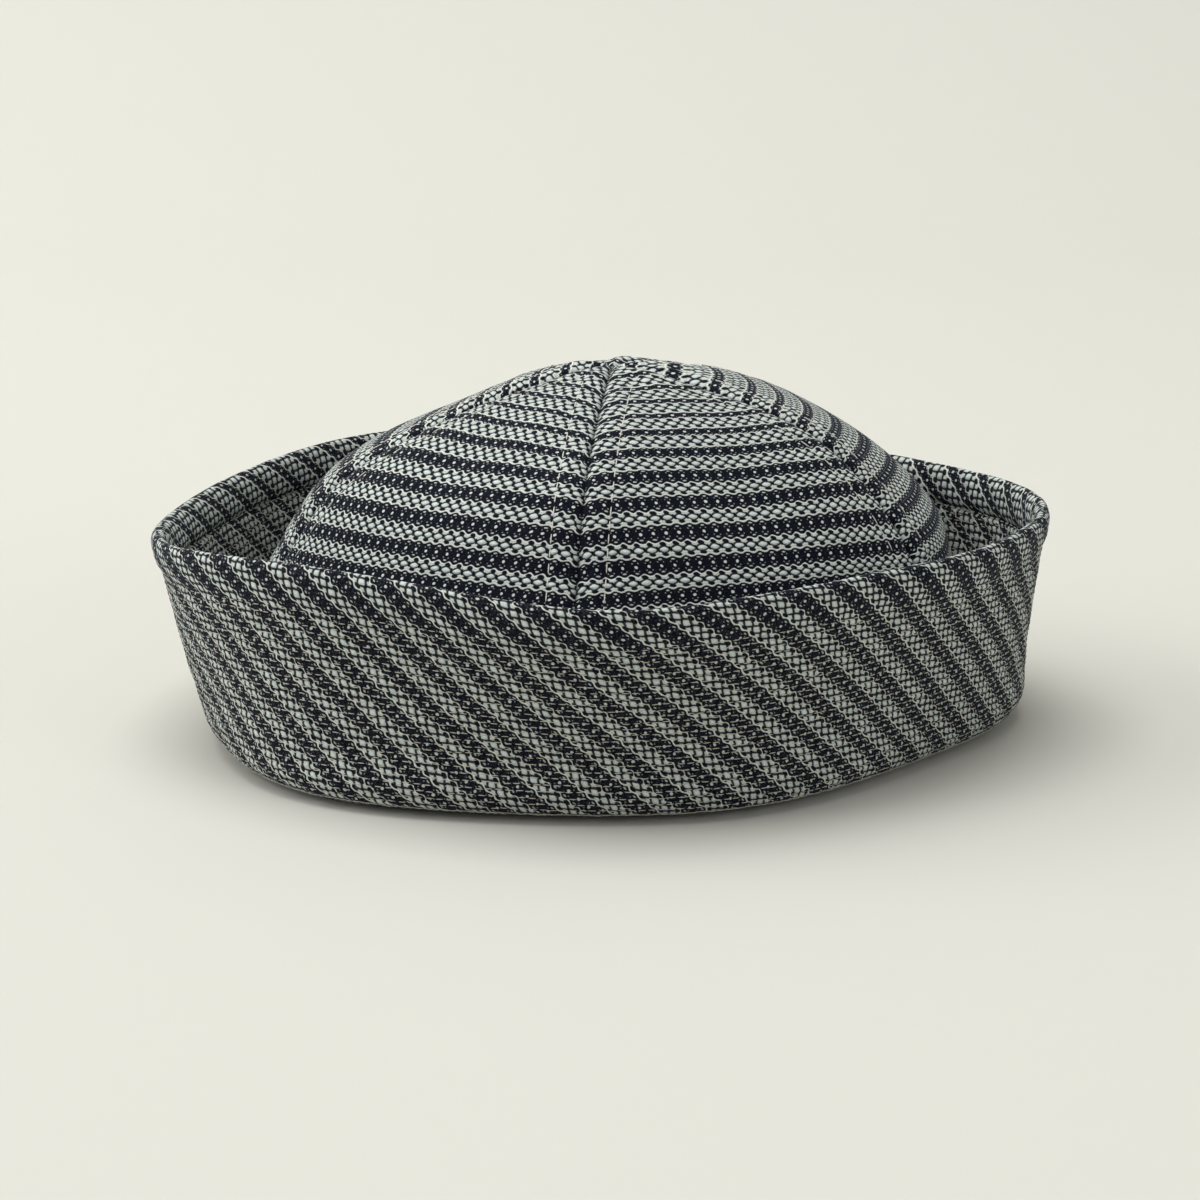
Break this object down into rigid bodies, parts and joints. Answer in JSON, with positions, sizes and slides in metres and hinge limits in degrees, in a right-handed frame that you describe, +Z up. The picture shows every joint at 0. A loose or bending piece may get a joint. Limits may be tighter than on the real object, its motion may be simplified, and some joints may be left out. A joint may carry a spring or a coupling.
{
  "type": "sailor cap",
  "caption": "Soft sailor cap with a sewn gored crown and a deep turned-up brim, in dark and pale striped cloth.",
  "frame": {"origin": "centre of the bounding box's bottom face, on the surface that the cap rests on", "axes": "+Z up through the crown, -Y towards the front where the picture was taken from, +X to the right side"},
  "size_m": [0.2188, 0.2012, 0.089],
  "materials": {
    "crown_cloth": "woven cotton with navy and pale stripes, matt",
    "brim_cloth": "the same woven cotton cut on the bias and quilted with rows of stitches, matt",
    "thread": "beige cotton sewing thread, matt"
  },
  "bodies": {
    "root": {"brim": "brim_cloth", "crown_panel_1": "crown_cloth", "crown_panel_2": "crown_cloth", "crown_panel_3": "crown_cloth", "crown_panel_4": "crown_cloth", "crown_panel_5": "crown_cloth"}
  },
  "joints": []
}
